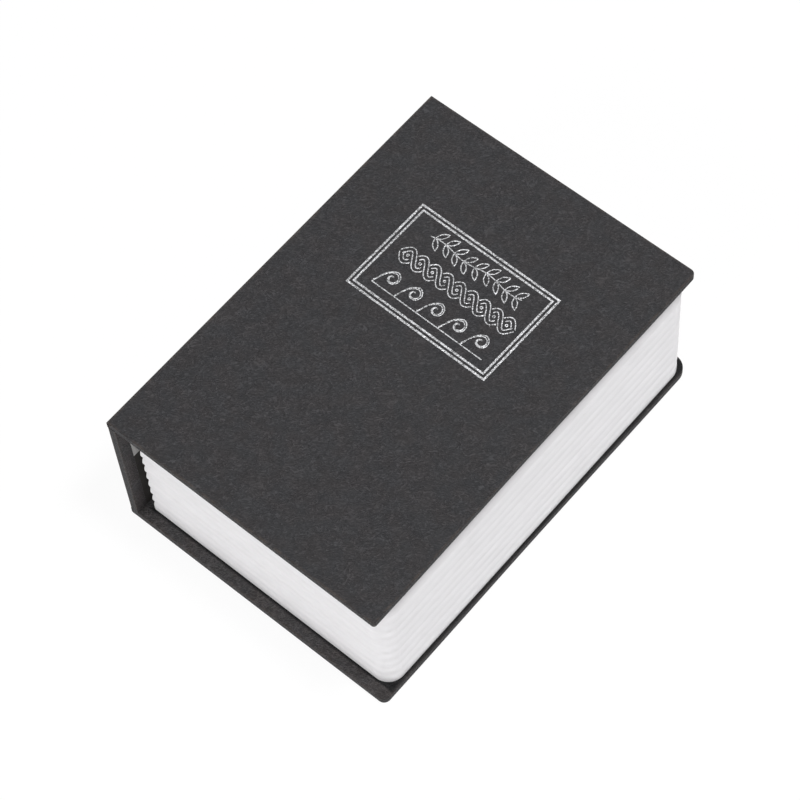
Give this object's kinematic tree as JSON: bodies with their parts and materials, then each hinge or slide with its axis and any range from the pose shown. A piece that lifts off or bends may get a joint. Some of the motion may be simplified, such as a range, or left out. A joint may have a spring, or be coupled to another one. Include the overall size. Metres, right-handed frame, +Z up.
{
  "type": "book diversion safe",
  "caption": "Key-lock safe disguised as a small charcoal hardback: hinged cover and spine, ribbed imitation page block, steel box with hinged lid, cam lock and keeper.",
  "frame": {"origin": "bottom centre of the closed book, lying on its back cover", "axes": "+X from the spine to the fore edge, +Y from the tail to the head, +Z up through the front cover"},
  "size_m": [0.08, 0.115, 0.045],
  "materials": {
    "leatherette_paper": "matte",
    "greyboard": "matte",
    "pale_lining": "matte",
    "dark_lining": "matte",
    "silver_foil": "satin",
    "moulded_pages": "matte",
    "black_painted_steel": "satin",
    "zinc_plated_steel": "satin",
    "chromed_zinc": "polished",
    "lock_brass": "satin",
    "spring_steel": "satin",
    "foam_tape": "matte"
  },
  "bodies": {
    "base": {"back_cover_paper": "leatherette_paper", "back_board": "greyboard", "back_endpaper": "dark_lining", "page_block": "moulded_pages", "box_body": "black_painted_steel", "hinge_leaf_box": "zinc_plated_steel", "hinge_pin": "zinc_plated_steel", "box_leaf_rivet_1": "zinc_plated_steel", "box_leaf_rivet_2": "zinc_plated_steel", "box_leaf_rivet_3": "zinc_plated_steel", "lock_keeper": "zinc_plated_steel", "mounting_tape_spine_side": "foam_tape", "mounting_tape_fore_side": "foam_tape"},
    "spine": {"spine_cover_paper": "leatherette_paper", "spine_board": "greyboard", "spine_lining": "dark_lining", "spine_endpaper_flap": "pale_lining"},
    "front_cover": {"front_cover_paper": "leatherette_paper", "front_board": "greyboard", "front_endpaper": "pale_lining", "title_frame_outer": "silver_foil", "title_frame_inner": "silver_foil"},
    "lid": {"box_lid": "black_painted_steel", "hinge_leaf_lid": "zinc_plated_steel", "lid_leaf_rivet_1": "zinc_plated_steel", "lid_leaf_rivet_2": "zinc_plated_steel", "lid_leaf_rivet_3": "zinc_plated_steel", "lock_housing": "chromed_zinc", "lock_nut": "zinc_plated_steel", "lock_washer": "zinc_plated_steel"},
    "plug": {"lock_plug": "lock_brass", "wafer_1": "lock_brass", "wafer_2": "lock_brass", "wafer_3": "lock_brass", "wafer_4": "lock_brass", "wafer_spring_1": "spring_steel", "wafer_spring_2": "spring_steel", "wafer_spring_3": "spring_steel", "wafer_spring_4": "spring_steel", "lock_cam": "zinc_plated_steel", "cam_washer": "zinc_plated_steel", "cam_screw": "zinc_plated_steel"}
  },
  "joints": [
    {"name": "spine_hinge", "type": "hinge", "parent": "base", "child": "spine", "pos_m": [-0.04, 0, 0], "axis": [0, -1, 0], "range_deg": [0, 90]},
    {"name": "cover_hinge", "type": "hinge", "parent": "spine", "child": "front_cover", "pos_m": [-0.04, 0, 0.045], "axis": [0, -1, 0], "range_deg": [0, 90]},
    {"name": "lid_hinge", "type": "hinge", "parent": "base", "child": "lid", "pos_m": [-0.0327, 0.00125, 0.0396], "axis": [0, -1, 0], "range_deg": [0, 85]},
    {"name": "lock_turn", "type": "hinge", "parent": "lid", "child": "plug", "pos_m": [0.022, 0.00125, 0.0405], "axis": [0, 0, -1], "range_deg": [0, 90]}
  ],
  "couplings": [
    {"joint": "lid_hinge", "follows": "cover_hinge", "ratio": 0.944}
  ]
}
